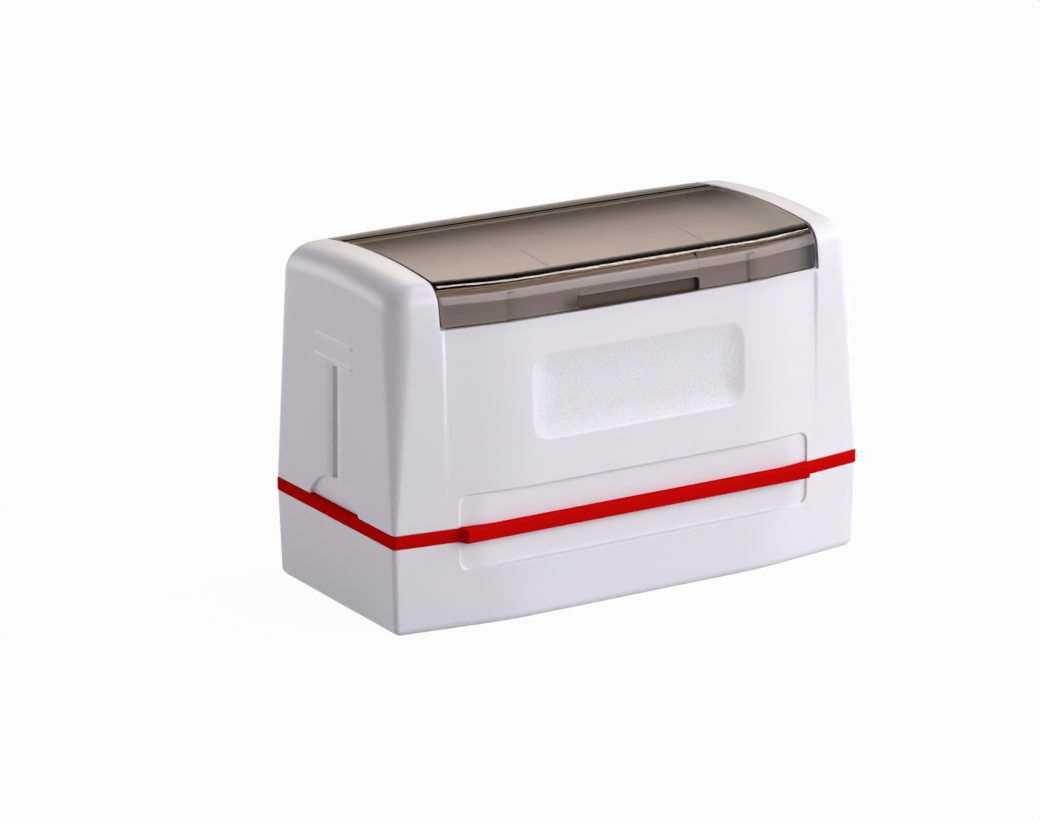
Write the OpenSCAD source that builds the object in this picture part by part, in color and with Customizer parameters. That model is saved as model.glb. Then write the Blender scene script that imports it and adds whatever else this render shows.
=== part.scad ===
// Pre-inked hand stamp: capped, with a sprung skirt, a red trim band and a smoke-tinted flip lid.
// Millimetres. +X runs along the length, -Y is the front, +Z is up; the origin is under the cap's middle.

/* [Body] */
// Length of the body at the line between cap and housing
body_len = 81.4; // [72:0.2:100]
// Depth of the body at the middle of its length
body_dep = 41; // [38:0.2:50]
// Length of the straight middle of the bowed long sides
flat_len = 36; // [24:1:48]
// Angle by which the long sides turn in towards the ends
turn_in = 8.2; // [4:0.1:10]
// Radius of the blend between straight middle and turned-in ends
blend_r = 56; // [30:1:80]
// Radius of the upright corners at the band
corner_r_low = 0.7; // [0.5:0.1:2]
// Radius of the upright corners at the shoulder
corner_r_top = 3.4; // [2:0.1:5]
// Corner radius of the pieces that nest inside
nest_r = 1.3; // [0.8:0.1:2]
// Wall of cap and housing at the ends
wall = 2; // [1.6:0.1:2.6]
// Half depth of the flat-sided hollow inside cap and housing
hollow_half_dep = 17.7; // [17:0.1:18]

/* [Cap] */
// Height of the cap
cap_h = 13.5; // [11:0.1:18]
// Thickness of the cap's floor
cap_floor = 1.6; // [1.2:0.1:2.2]
// How much shorter and narrower each side is at the cap's bottom
cap_draft = 0.3; // [0:0.05:0.6]
// Rounding of the cap's bottom edge
cap_edge_r = 1.4; // [0.8:0.1:2]

/* [Band] */
// Height of the red band
band_h = 2.05; // [1.6:0.05:3]
// How far the band stands proud of the body
band_proud = 0.3; // [0.1:0.05:0.6]
// How far the flat pads stand out from the body's middle
pad_proud = 0.4; // [0.3:0.05:0.8]
// Length of the slanted ends of the pads
pad_slant = 1.2; // [0.6:0.1:2]
// Thickness of the tongue that seats in the housing
tongue_t = 0.55; // [0.4:0.05:0.8]
// Height of the tongue
tongue_h = 2.5; // [1.5:0.1:4]

/* [Housing] */
// Height of the housing from the band to the crown
housing_h = 37.25; // [34:0.25:44]
// How much each end leans in by the shoulder
end_draft = 0.5; // [0.2:0.05:1]
// How much each long side leans in by the lid's lower edge
side_draft = 0.6; // [0.2:0.05:1]
// Radius of the crowned top
crown_r = 110; // [90:1:140]
// Radius of the bend between top and long sides
bend_r = 2.6; // [2:0.1:3.2]
// Lean of the long sides beside the lid
lean = 9; // [6:0.5:12]
// Height of the rounding at the ends of the top
end_round_h = 4.6; // [3:0.1:6]
// Length of the rounding at the ends of the top
end_round_l = 5; // [3:0.1:6]
// Height of the lid's lower edge below the crown
lid_drop = 7.9; // [6.5:0.1:8.2]
// How far the long panels are set back from the pillars at the lid
panel_step = 0.4; // [0.1:0.05:0.6]
// Depth of the deck's top below the crown
deck_drop = 4; // [3.6:0.1:4.6]
// Thickness of the deck
deck_t = 1.9; // [1.5:0.1:2.4]
// Wall round the raised deck
deck_wall = 1.6; // [1.2:0.1:2]
// Gap between the lid's inside and the deck
deck_gap = 0.5; // [0.4:0.05:0.8]

/* [Finger recess] */
// Length of the flat recesses on the long sides
recess_len = 60.8; // [50:0.2:64]
// Depth of the recess floor behind the body's middle
recess_dep = 1.2; // [0.8:0.1:1.6]
// Height of the recess above the band
recess_up = 4.8; // [3:0.1:8]
// Height of the recess below the band
recess_down = 4.4; // [3:0.1:7]
// Corner radius of the recess
recess_r = 1.5; // [0.8:0.1:2.5]

/* [Plaque] */
// Width of the bare plaque on the front
plaque_w = 36.6; // [20:0.2:44]
// Height of the plaque
plaque_h = 12.8; // [8:0.2:16]
// Height of the plaque's centre above the band
plaque_up = 17.7; // [15:0.1:20]
// Corner radius of the plaque
plaque_r = 3; // [1:0.1:4]
// Depth of the plaque
plaque_dep = 0.4; // [0.2:0.05:0.6]

/* [End marks] */
// Half width of the thumb scoops at the ends
scoop_half = 7.3; // [5:0.1:9]
// Height of the thumb scoops above the band
scoop_h = 4.4; // [3:0.1:5]
// Depth of the thumb scoops at the band
scoop_dep = 0.65; // [0.4:0.05:0.8]
// Width of the upright centre groove
groove_w = 1.35; // [0.6:0.05:1.6]
// Height of the groove's top above the band
groove_up = 21.2; // [15:0.1:23]
// Depth of the groove below the leaning end face at the lower bar
groove_dep = 0.4; // [0.2:0.05:0.6]
// How far the two level bars stand out from the end face
bar_rise = 0.3; // [0.1:0.05:0.35]
// Length of the two level bars
bar_len = 11; // [6:0.1:16]
// Height of each bar
bar_h = 0.8; // [0.4:0.1:1.2]
// Height of the lower bar above the band
bar_up = 21.8; // [21.8:0.1:24]
// Distance between the bars
bar_pitch = 3.1; // [2:0.1:4]

/* [Lid] */
// Length of the smoke-tinted lid
lid_len = 65.2; // [60:0.2:68]
// Gap between lid and pillars
lid_gap = 0.25; // [0.2:0.05:0.5]
// Gap under the lid's lower edge
ledge_gap = 0.15; // [0.1:0.05:0.3]
// Thickness of lid and rear window
lid_t = 1.7; // [1.3:0.1:1.9]
// Distance of the hinge line behind the middle
hinge_y = 9.5; // [6:0.1:12]
// Radius of the hinge bead
bead_r = 1.2; // [1:0.05:1.4]
// Gap between hinge bead and rear window
seam_gap = 0.25; // [0.2:0.05:0.4]
// Radius of the hinge pins
pin_r = 0.7; // [0.5:0.05:0.8]
// Length of the hinge pins
pin_len = 1.8; // [1.2:0.1:2.4]
// Running clearance of the hinge pins in their sockets
pin_clear = 0.05; // [0.03:0.01:0.08]
// Width of the nail notch
notch_w = 20.8; // [12:0.2:26]
// Height of the nail notch's top above the lid's lower edge
notch_h = 2; // [1.5:0.1:3]
// Height of the lip under the nail notch
notch_lip = 0.4; // [0.2:0.05:0.8]
// Depth of the nail notch
notch_dep = 0.8; // [0.5:0.1:1]
// Distance of the latch ribs from the middle
rib_x = 20.7; // [16:0.1:26]
// Width of the latch ribs
rib_w = 2; // [0.8:0.1:2.4]
// Height of the latch ribs
rib_h = 3.4; // [2:0.1:3.6]
// Depth of the latch ribs
rib_dep = 0.35; // [0.2:0.05:0.4]

/* [Card] */
// Length of the index card
card_len = 61.4; // [50:0.2:64]
// Depth of the index card
card_dep = 27; // [20:0.2:30]
// Thickness of the index card
card_t = 0.3; // [0.2:0.05:0.5]
// Depth of the card's pocket in the deck
pocket_dep = 0.4; // [0.3:0.05:0.6]
// Gap round the card
card_gap = 0.3; // [0.1:0.05:0.5]

/* [Skirt] */
// Gap between skirt and cap or housing
skirt_gap = 0.4; // [0.3:0.05:0.6]
// Wall of the skirt
skirt_wall = 1.2; // [1:0.1:1.4]
// Gap between skirt rim and cap floor
rim_gap = 0.4; // [0.3:0.1:1]
// Thickness of the skirt's top web
web_t = 2; // [1.5:0.1:3]
// Press travel of the skirt
stroke = 5; // [4:0.1:6]
// Gap between web and stops at both ends of its travel
stop_gap = 0.1; // [0.05:0.05:0.3]
// Step on the guide posts that stops the web
stop_step = 0.3; // [0.2:0.05:0.35]

/* [Inking] */
// Length of the printing face
die_len = 69; // [50:0.5:69]
// Depth of the printing face
die_dep = 25; // [16:0.5:26]
// How far the printing face lies inside the skirt rim
die_recess = 4.6; // [4.2:0.1:5.4]
// Thickness of the printing face layer
face_t = 2; // [1.5:0.1:3]
// Thickness of the foam's clamped flange
flange_t = 2; // [1.5:0.1:3]
// Thickness of the ink reservoir
reservoir_t = 5; // [3:0.1:6]
// Thickness of the carrier plate
carrier_t = 3; // [2.6:0.1:4]
// Gap between retainer and skirt
retainer_gap = 0.4; // [0.3:0.05:0.8]
// Wall of the retainer
retainer_wall = 1.1; // [0.8:0.1:1.4]
// Height of the lip that clamps the foam
lip_h = 1; // [0.8:0.1:1.4]
// Fitting gap between retainer, carrier and foam
fit_gap = 0.05; // [0.02:0.01:0.1]

/* [Springs] */
// Distance of the guide posts from the middle
post_x = 20; // [14:0.5:26]
// Radius of the guide posts
post_r = 3; // [2.5:0.1:3.5]
// Sliding clearance of the posts in the web
post_clear = 0.08; // [0.05:0.01:0.1]
// Length of the springs at rest
spring_len = 20; // [17:0.5:22]
// Radius of the spring wire
wire_r = 0.4; // [0.3:0.05:0.5]
// Gap between post and spring
spring_gap = 0.6; // [0.4:0.1:1]
// Curls in each spring
curls = 7; // [5:1:9]

/* [Screws] */
// Radius of the screw shank
screw_r = 1.25; // [1:0.05:1.4]
// Length of the screw shank in the post
screw_len = 9; // [6:0.5:12]
// Radius of the screw head
head_r = 2.4; // [2:0.1:2.8]
// Height of the screw head
head_h = 1.4; // [1:0.1:1.8]

/* [Hidden] */
$fn = 48;

// Thickness of a slice that a shell is lofted from
slice_t = 0.01;
// Overshoot of cuts
over = 1;
// Least height of the top's points above the lid's lower edge
slack = 0.5;
// Steps of each rounded stretch
corner_steps = 5;
blend_steps = 3;
bend_steps = 6;
crown_steps = 12;
edge_steps = 4;
end_steps = 6;

half_len = body_len / 2;
half_dep = body_dep / 2;
band_z = cap_h;
housing_z = band_z + band_h;
top_z = housing_z + housing_h;
lid_z = top_z - lid_drop;
deck_z = top_z - deck_drop;
deck_under = deck_z - deck_t;
lid_half = lid_len / 2;
pillar_x = lid_half + lid_gap;

// Heights of the inner stack, from the cap's floor upwards
rim_z = cap_floor + rim_gap;
die_z = rim_z + die_recess;
flange_z = die_z + face_t;
reservoir_z = flange_z + flange_t;
carrier_z = reservoir_z + reservoir_t;
carrier_top = carrier_z + carrier_t;
web_z = carrier_top + stop_gap;
web_top = web_z + web_t;
spring_z = web_top + spring_len;
// Shoulder on the posts that stops the web at the end of its travel
stop_z = web_top + stroke + stop_gap;

// Insets of the nested pieces, counted from the body's outline
skirt_in = wall + skirt_gap;
skirt_inner_in = skirt_in + skirt_wall;
retainer_in = skirt_inner_in + retainer_gap;
carrier_in = retainer_in + retainer_wall + fit_gap;
spring_mid_r = post_r + spring_gap + wire_r;
collar_r = spring_mid_r + 2 * wire_r;

// Plan of the turned-in quarter from the straight middle to the end's middle
blend_end = [
    flat_len / 2 + blend_r * sin(turn_in),
    half_dep - blend_r * (1 - cos(turn_in))
];
function arc(c, r, from, to, steps) =
    [for (i = [0 : steps]) let (a = from + (to - from) * i / steps) c + r * [cos(a), sin(a)]];
function corner_centre(len, r) =
    let (x = len - r)
    [x, blend_end[1] - ((x - blend_end[0]) * sin(turn_in) + r) / cos(turn_in)];
function quarter(len, r) = concat(
    arc([flat_len / 2, half_dep - blend_r], blend_r, 90, 90 - turn_in, blend_steps),
    arc(corner_centre(len, r), r, 90 - turn_in, 0, corner_steps)
);
function lerp(a, b, t) = a + (b - a) * t;
function reversed(list) = [for (i = [len(list) - 1 : -1 : 0]) list[i]];
function scaled(list, kx, ky) = [for (p = list) [p[0] * kx, p[1] * ky]];

// Closed plan outline of half length len, mid half depth dep and corner radius r
function ring(len, dep, r) =
    let (q = quarter(len, r), k = dep / half_dep)
    concat(
        scaled(q, 1, k),
        scaled(reversed(q), 1, -k),
        scaled(q, -1, -k),
        scaled(reversed(q), -1, k)
    );

// Side profile of the housing: bend circle between leaning side and crown
crown_c = [0, top_z - crown_r];
lean_foot = [half_dep - side_draft, lid_z];
lean_out = [cos(lean), sin(lean)];
lean_up = [-sin(lean), cos(lean)];
bend_from = lean_foot - bend_r * lean_out - crown_c;
bend_half_b = bend_from * lean_up;
bend_rest = bend_from * bend_from - pow(crown_r - bend_r, 2);
bend_s = -bend_half_b + sqrt(pow(bend_half_b, 2) - bend_rest);
bend_c = crown_c + bend_from + bend_s * lean_up;
crown_a = atan2(bend_c[1] - crown_c[1], bend_c[0] - crown_c[0]);

// Points [depth, height] of the crowned top from bend to bend, moved in by inset
function bend_points(inset) =
    [for (i = [0 : bend_steps - 1])
        let (a = lerp(lean, crown_a, i / bend_steps)) bend_c + (bend_r - inset) * [cos(a), sin(a)]];
function top_profile(inset) =
    let (bend = bend_points(inset))
    concat(
        bend,
        arc(crown_c, crown_r - inset, crown_a, 180 - crown_a, crown_steps),
        scaled(reversed(bend), -1, 1)
    );
// Share of the way from the band to the lid's lower edge
function rise(z) = (z - housing_z) / (lid_z - housing_z);
// Half depth of the plan outline at a distance x from the middle
function bow_at(x) =
    x <= flat_len / 2 ? half_dep
    : x <= blend_end[0] ? half_dep - blend_r + sqrt(pow(blend_r, 2) - pow(x - flat_len / 2, 2))
    : blend_end[1] - (x - blend_end[0]) * tan(turn_in);

// Stations [x, drop, draw-in] that carry the crowned top along one half
top_end = half_len - end_draft;
top_stations = concat(
    [for (i = [0 : blend_steps]) [lerp(flat_len / 2, blend_end[0], i / blend_steps), 0, 0]],
    [for (i = [0 : end_steps])
        let (a = 90 - 90 * i / end_steps)
        [top_end - end_round_l * (1 - cos(a)), end_round_h * (1 - sin(a)), corner_r_top * (1 - sin(a))]]
);

module slice(z, len, dep, r) {
    translate([0, 0, z]) linear_extrude(slice_t) polygon(ring(len, dep, r));
}

// Points of a plan outline raised to a height
function raised(outline, z) = [for (p = outline) [p[0], p[1], z]];
// Points of the crowned top at one station, both ways along X, that lie clear above the lid's lower edge
function station_points(station, inset) =
    let (narrow = (bow_at(station[0]) - station[2]) / half_dep)
    [for (p = top_profile(inset), side = [-1, 1])
        if (p[1] - station[1] > lid_z + slack)
            [side * station[0], p[0] * narrow, p[1] - station[1]]];

// The housing's full outer form, moved in by inset and set back by step at the lid
module housing_form(inset = 0, step = 0) {
    points = concat(
        raised(ring(half_len, half_dep - inset, corner_r_low), housing_z),
        raised(ring(top_end, half_dep - side_draft - inset - step, corner_r_top), lid_z),
        [for (station = top_stations) each station_points(station, inset)]
    );
    hull() polyhedron(points, [for (i = [0 : 3 : len(points) - 3]) [i, i + 1, i + 2]]);
}

// Plain upright solid of the nested outline, moved in by inset
module nest(inset, z, h) {
    flat = hollow_half_dep - inset + wall;
    translate([0, 0, z]) linear_extrude(h) intersection() {
        polygon(ring(half_len - inset, half_dep - inset, nest_r));
        square([body_len, 2 * flat], center = true);
    }
}

module rounded_rect(w, h, r) {
    for (x = [-1, 1], y = [-1, 1])
        translate([x * (w / 2 - r), y * (h / 2 - r)]) circle(r);
    square([w - 2 * r, h], center = true);
    square([w, h - 2 * r], center = true);
}

// A block as tall and wide as the whole object, between two X planes
module span_x(x0, x1, z0, z1) {
    translate([x0, -body_dep, z0]) cube([x1 - x0, 2 * body_dep, z1 - z0]);
}

// Finger recess on both long sides, across the band
module finger_recess() {
    mid = (recess_up - recess_down + band_h) / 2;
    h = recess_up + recess_down + band_h;
    for (s = [-1, 1])
        translate([0, s * (half_dep - recess_dep), band_z + mid])
            rotate([s * -90, 0, 0])
                linear_extrude(half_dep) rounded_rect(recess_len, h, recess_r);
}

module dust_cap() {
    color("#F0EFF3") difference() {
        hull() {
            for (i = [0 : edge_steps]) {
                a = 90 * i / edge_steps;
                in = cap_draft + cap_edge_r * (1 - sin(a));
                slice(cap_edge_r * (1 - cos(a)), half_len - in, half_dep - in, corner_r_low);
            }
            slice(cap_h - slice_t, half_len, half_dep, corner_r_low);
        }
        nest(wall, cap_floor, cap_h);
        finger_recess();
    }
}

module colour_band() {
    color("#C80A08") difference() {
        union() {
            translate([0, 0, band_z]) linear_extrude(band_h) {
                polygon(ring(half_len + band_proud, half_dep + band_proud, corner_r_low));
                pad_slab();
                mirror([0, 1]) pad_slab();
            }
            nest(wall - tongue_t, housing_z, tongue_h);
        }
        nest(wall, band_z - over, band_h + tongue_h + 2 * over);
    }
}

// One flat pad with slanted ends, rooted inside the band
module pad_slab() {
    reach = half_dep + pad_proud;
    root = half_dep - pad_slant;
    polygon([
        [-recess_len / 2, -root], [-recess_len / 2 + pad_slant, -reach],
        [recess_len / 2 - pad_slant, -reach], [recess_len / 2, -root]
    ]);
}

// Distance of an end face from the middle at a height above the band
function end_x(up) = half_len - end_draft * rise(housing_z + up);
groove_x = end_x(bar_up) - groove_dep;

// Thumb scoop and groove of one end, taken out of it
module end_marks() {
    scoop_r = (scoop_half * scoop_half + scoop_h * scoop_h) / (2 * scoop_h);
    translate([half_len - scoop_dep, 0, housing_z + scoop_h - scoop_r])
        rotate([0, 90, 0]) cylinder(r = scoop_r, h = half_len, $fn = 96);
    translate([groove_x, -groove_w / 2, housing_z]) cube([half_len, groove_w, groove_up]);
}

// The two raised bars of one end, rooted in its wall
module end_bars() {
    for (up = [bar_up, bar_up + bar_pitch])
        translate([groove_x, 0, housing_z + up])
            rotate([90, 0, 90]) linear_extrude(end_x(up) + bar_rise - groove_x) bar_outline();
}

module bar_outline() {
    square([bar_len - bar_h, bar_h], center = true);
    for (s = [-1, 1])
        translate([s * (bar_len - bar_h) / 2, 0]) circle(bar_h / 2);
}

// Height of the hinge line, one bead radius under the crown
hinge_z = crown_c[1] + sqrt(pow(crown_r, 2) - pow(hinge_y, 2)) - bead_r;

// Hollow of the housing, open at the bottom and narrower under the deck
module housing_hollow() {
    nest(wall, housing_z - over, lid_z - deck_wall - housing_z + over);
    nest(wall - tongue_t - fit_gap, housing_z - over, tongue_h + fit_gap + over);
    intersection() {
        nest(wall, lid_z - deck_wall - over, deck_under - lid_z + deck_wall + over);
        housing_form(inset = lid_t + deck_gap + deck_wall);
    }
}

module guide_post(x) {
    translate([x, 0, carrier_top]) difference() {
        union() {
            cylinder(r = post_r, h = deck_under - carrier_top + deck_t / 2);
            translate([0, 0, stop_z - carrier_top])
                cylinder(r = post_r + stop_step, h = deck_under - stop_z + deck_t / 2);
            translate([0, 0, spring_z - carrier_top])
                cylinder(r = collar_r, h = deck_under - spring_z + deck_t / 2);
        }
        translate([0, 0, -over]) cylinder(r = screw_r + fit_gap, h = over + screw_len + over);
    }
}

module upper_housing() {
    color("#F0EFF3") {
        difference() {
            housing_form();
            difference() {
                span_x(-pillar_x, pillar_x, housing_z - over, lid_z);
                housing_form(step = panel_step);
            }
            lid_bay();
            housing_hollow();
            finger_recess();
            plaque_pocket();
            for (a = [0, 180])
                rotate([0, 0, a]) end_marks();
            for (s = [-1, 1])
                pin_socket(s);
        }
        for (a = [0, 180])
            rotate([0, 0, a]) end_bars();
        for (s = [-1, 1])
            guide_post(s * post_x);
    }
}

// Space between the pillars for lid and rear window, leaving the raised deck
module lid_bay() {
    difference() {
        span_x(-pillar_x, pillar_x, lid_z, top_z + over);
        intersection() {
            housing_form(inset = lid_t + deck_gap);
            span_x(-half_len, half_len, housing_z, deck_z);
        }
    }
    translate([0, 0, deck_z - pocket_dep]) linear_extrude(deck_drop)
        square([card_len + 2 * card_gap, card_dep + 2 * card_gap], center = true);
}

module plaque_pocket() {
    face = half_dep - (side_draft + panel_step) * rise(housing_z + plaque_up);
    translate([0, plaque_dep - face, housing_z + plaque_up])
        rotate([90, 0, 0]) linear_extrude(half_dep) rounded_rect(plaque_w, plaque_h, plaque_r);
}

module pin_socket(s) {
    translate([s * (pillar_x - over), hinge_y, hinge_z])
        rotate([0, s * 90, 0]) cylinder(r = pin_r + pin_clear, h = over + pin_len + lid_gap);
}

// Curved sheet of the lid's thickness between two Y planes
module smoke_sheet(len, y0, y1) {
    difference() {
        intersection() {
            housing_form();
            translate([-len / 2, y0, lid_z + ledge_gap]) cube([len, y1 - y0, lid_drop + over]);
        }
        housing_form(inset = lid_t);
    }
}

module window_lid() {
    color("#7A6A5C") {
        difference() {
            smoke_sheet(lid_len, -body_dep, hinge_y);
            nail_notch();
        }
        translate([-lid_half, hinge_y, hinge_z]) rotate([0, 90, 0]) cylinder(r = bead_r, h = lid_len);
        translate([-lid_half - pin_len, hinge_y, hinge_z])
            rotate([0, 90, 0]) cylinder(r = pin_r, h = lid_len + 2 * pin_len);
        latch_ribs();
    }
}

module nail_notch() {
    face = half_dep - side_draft;
    translate([-notch_w / 2, -face - over, lid_z + ledge_gap + notch_lip])
        cube([notch_w, over + notch_dep, notch_h - notch_lip]);
}

// Two short ribs inside the front edge
module latch_ribs() {
    difference() {
        intersection() {
            housing_form(inset = lid_t / 2);
            for (s = [-1, 1])
                translate([s * rib_x - rib_w / 2, -body_dep, lid_z + ledge_gap]) cube([rib_w, body_dep, rib_h]);
        }
        housing_form(inset = lid_t + rib_dep);
    }
}

module rear_window() {
    color("#7A6A5C") smoke_sheet(lid_len, hinge_y + bead_r + seam_gap, body_dep);
}

module index_card() {
    color("#EFE9DC") translate([0, 0, deck_z - pocket_dep])
        linear_extrude(card_t) square([card_len, card_dep], center = true);
}

module skirt_frame() {
    color("#2B2B2E") difference() {
        nest(skirt_in, rim_z, web_top - rim_z);
        nest(skirt_inner_in, rim_z - over, web_z - rim_z + over);
        for (s = [-1, 1])
            translate([s * post_x, 0, web_z - over]) cylinder(r = post_r + post_clear, h = web_t + 2 * over);
    }
}

// One unbroken wire: rings of points along a helix between the web and the collar
ring_sides = 6;
rings_per_curl = 8;
end_gap = 0.1;
coil_low = web_top + wire_r + end_gap;
coil_high = spring_z - wire_r - end_gap;
coil_count = curls * rings_per_curl;
function coil_ring(i) =
    let (a = 360 * i / rings_per_curl, z = lerp(coil_low, coil_high, i / coil_count))
    [for (k = [0 : ring_sides - 1])
        let (b = 360 * k / ring_sides, r = spring_mid_r + wire_r * cos(b))
        [r * cos(a), r * sin(a), z + wire_r * sin(b)]];
coil_points = [for (i = [0 : coil_count]) each coil_ring(i)];
function wrap(i, k) = i * ring_sides + (k % ring_sides);
coil_faces = concat(
    [for (k = [1 : ring_sides - 2]) [wrap(0, 0), wrap(0, k), wrap(0, k + 1)]],
    [for (i = [0 : coil_count - 1], k = [0 : ring_sides - 1])
        each [
            [wrap(i, k), wrap(i + 1, k), wrap(i + 1, k + 1)],
            [wrap(i, k), wrap(i + 1, k + 1), wrap(i, k + 1)]
        ]],
    [for (k = [1 : ring_sides - 2])
        [wrap(coil_count, 0), wrap(coil_count, k + 1), wrap(coil_count, k)]]
);
// Least gap between neighbouring curls, measured between points one turn apart
coil_least_gap = min([
    for (i = [0 : coil_count - rings_per_curl], p = coil_ring(i), q = coil_ring(i + rings_per_curl))
        norm(p - q)
]);
echo(spring_least_gap = coil_least_gap);

module spring_at(x) {
    color("#9A9DA3") translate([x, 0, 0]) polyhedron(coil_points, coil_faces);
}

module spring_left() {
    spring_at(-post_x);
}

module spring_right() {
    spring_at(post_x);
}

module die_carrier() {
    color("#D8D8DC") difference() {
        nest(carrier_in, carrier_z, carrier_t);
        for (s = [-1, 1]) {
            translate([s * post_x, 0, carrier_z - over])
                cylinder(r = screw_r + fit_gap, h = carrier_t + 2 * over);
            translate([s * post_x, 0, carrier_z - over])
                cylinder(r = head_r + fit_gap, h = head_h + fit_gap + over);
        }
    }
}

module carrier_screws() {
    color("#B8BBC0")
        for (s = [-1, 1])
            translate([s * post_x, 0, carrier_z + fit_gap]) {
                cylinder(r = head_r, h = head_h);
                cylinder(r = screw_r, h = carrier_t - fit_gap + screw_len);
            }
}

module ink_reservoir() {
    color("#3A3A48") nest(carrier_in, reservoir_z, reservoir_t);
}

module foam_die() {
    color("#5A5560") {
        nest(carrier_in, flange_z, flange_t);
        translate([0, 0, die_z]) linear_extrude(face_t)
            square([die_len, die_dep], center = true);
    }
}

module die_retainer() {
    color("#D8D8DC") difference() {
        nest(retainer_in, flange_z - lip_h, carrier_top - flange_z + lip_h);
        nest(carrier_in - fit_gap, flange_z, carrier_top);
        translate([0, 0, flange_z - lip_h - over]) linear_extrude(lip_h + 2 * over)
            square([die_len + 2 * fit_gap, die_dep + 2 * fit_gap], center = true);
    }
}

dust_cap();
colour_band();
upper_housing();
window_lid();
rear_window();
index_card();
skirt_frame();
spring_left();
spring_right();
die_carrier();
carrier_screws();
ink_reservoir();
foam_die();
die_retainer();
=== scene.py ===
"""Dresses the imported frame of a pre-inked hand stamp: white cap and housing, red trim band, smoke lid.

Metres, in the frame's own axes: +X runs along the length, -Y is the front, +Z is up.
"""

import math

import bmesh
import bpy
from mathutils import Matrix, Quaternion, Vector


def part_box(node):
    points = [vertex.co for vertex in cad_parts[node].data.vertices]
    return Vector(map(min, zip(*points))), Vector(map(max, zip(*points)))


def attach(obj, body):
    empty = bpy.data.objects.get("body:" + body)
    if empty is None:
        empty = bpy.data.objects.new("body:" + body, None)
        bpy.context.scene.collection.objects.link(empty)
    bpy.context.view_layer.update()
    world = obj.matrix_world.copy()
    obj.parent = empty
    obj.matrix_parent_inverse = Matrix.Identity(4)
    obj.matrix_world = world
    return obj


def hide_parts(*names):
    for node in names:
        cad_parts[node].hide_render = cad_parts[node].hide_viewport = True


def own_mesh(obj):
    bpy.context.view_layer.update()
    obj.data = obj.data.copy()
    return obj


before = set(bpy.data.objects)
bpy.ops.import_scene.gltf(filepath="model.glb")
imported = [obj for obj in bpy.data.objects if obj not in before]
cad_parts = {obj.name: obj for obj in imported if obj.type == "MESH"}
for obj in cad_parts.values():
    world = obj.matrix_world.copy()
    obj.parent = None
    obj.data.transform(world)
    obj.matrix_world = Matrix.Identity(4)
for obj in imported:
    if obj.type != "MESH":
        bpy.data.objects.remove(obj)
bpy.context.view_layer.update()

bl_info = {
    "name": "Pre-inked stamp",
    "version": (1, 0, 0),
    "blender": (4, 5, 0),
    "location": "View3D > Sidebar > Stamp",
    "description": "Builds the visible pieces of a capped spring stamp on its CAD frame",
    "category": "Object",
}

MM = 0.001
NEAR = 1e-6  # distance in metres under which two places count as one

# Places that the frame gives
HOUSING_LOW, HOUSING_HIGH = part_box("upper_housing")
HALF_LEN, HALF_DEP = HOUSING_HIGH.x, HOUSING_HIGH.y
HOUSING_Z, TOP_Z = HOUSING_LOW.z, HOUSING_HIGH.z
BAND_LOW, BAND_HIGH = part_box("colour_band")
BAND_Z, TONGUE_TOP, PAD_Y = BAND_LOW.z, BAND_HIGH.z, BAND_HIGH.y
LID_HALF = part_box("rear_window")[1].x
LID_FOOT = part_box("window_lid")[0].z + 0.2 * MM  # a little above the solid's own lower edge
CARD_LOW, CARD_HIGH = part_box("index_card")
SKIRT_LOW, SKIRT_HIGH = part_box("skirt_frame")
SPRING_LOW, SPRING_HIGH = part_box("spring_right")
CARRIER_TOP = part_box("die_carrier")[1].z
FELT_LOW, FELT_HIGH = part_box("ink_reservoir")
DIE_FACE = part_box("foam_die")[0].z
RETAINER_LOW, RETAINER_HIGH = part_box("die_retainer")

# Ruled boxes: lines inside KEEP stay as ruled, and ZONE is the width that each rounded corner gets
KEEP_X, KEEP_Y = 33.6 * MM, 9 * MM
ZONE, ZONE_STEPS = 3 * MM, 8

# Shares that shape small relief
RIM_SLOPE = 0.15  # height of the groove's soft rims in their width
BAR_FOOT = 0.15  # rise of a bar's lower edge in that of its upper one
SCOOP_TOP = 0.3  # depth of a scoop at its top in its depth at the band


def linear(code):
    """Linear red, green, blue and alpha of an sRGB hex colour."""
    parts = [int(code[i : i + 2], 16) / 255 for i in (1, 3, 5)]
    return [c / 12.92 if c <= 0.04045 else ((c + 0.055) / 1.055) ** 2.4 for c in parts] + [1.0]


def length(name, description, default):
    """A length that a user may change, its default in millimetres."""
    return bpy.props.FloatProperty(
        name=name, description=description, default=default * MM, unit="LENGTH", precision=5
    )


def angle(name, description, default):
    """An angle that a user may change, its default in degrees."""
    return bpy.props.FloatProperty(
        name=name, description=description, default=math.radians(default), unit="ROTATION"
    )


def colour(name, description, code):
    """A colour that a user may change, its default an sRGB hex value."""
    return bpy.props.FloatVectorProperty(
        name=name, description=description, default=linear(code), size=4, subtype="COLOR", min=0, max=1
    )


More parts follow.
